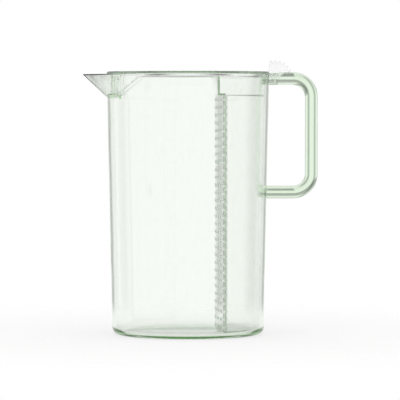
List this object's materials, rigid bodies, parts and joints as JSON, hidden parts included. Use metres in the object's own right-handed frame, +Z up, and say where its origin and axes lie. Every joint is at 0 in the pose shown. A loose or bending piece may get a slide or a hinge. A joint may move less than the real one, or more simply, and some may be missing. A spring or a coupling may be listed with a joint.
{
  "type": "infusion pitcher",
  "caption": "Tapered transparent drinks pitcher with a beak spout, round D handle, flip-up lid with thumb lever and pour strainer, and a lift-out slotted infuser basket.",
  "frame": {"origin": "centre of the jug's flat base, on the surface that it stands on", "axes": "+Z up along the jug axis, -X towards the spout, +X towards the handle, Y along the hinge pin"},
  "size_m": [0.2051, 0.142, 0.2391],
  "materials": {
    "tinted_plastic": "polished, transparent, faint green tint",
    "clear_plastic": "polished, transparent"
  },
  "bodies": {
    "jug": {"jug_body": "tinted_plastic", "handle": "tinted_plastic"},
    "infuser": {"infuser_floor": "clear_plastic", "infuser_shell": "clear_plastic", "infuser_screen": "clear_plastic", "infuser_collar": "clear_plastic", "hinge_pin": "tinted_plastic"},
    "lid": {"lid_plate": "clear_plastic", "pour_strainer": "tinted_plastic", "thumb_lever": "clear_plastic"}
  },
  "joints": [
    {"name": "infuser_lift", "type": "slide", "parent": "jug", "child": "infuser", "axis": [0, 0, 1], "range_m": [0, 0.24]},
    {"name": "lid_hinge", "type": "hinge", "parent": "infuser", "child": "lid", "pos_m": [0.076, 0, 0.2231], "axis": [0, 1, 0], "range_deg": [0, 70]}
  ]
}
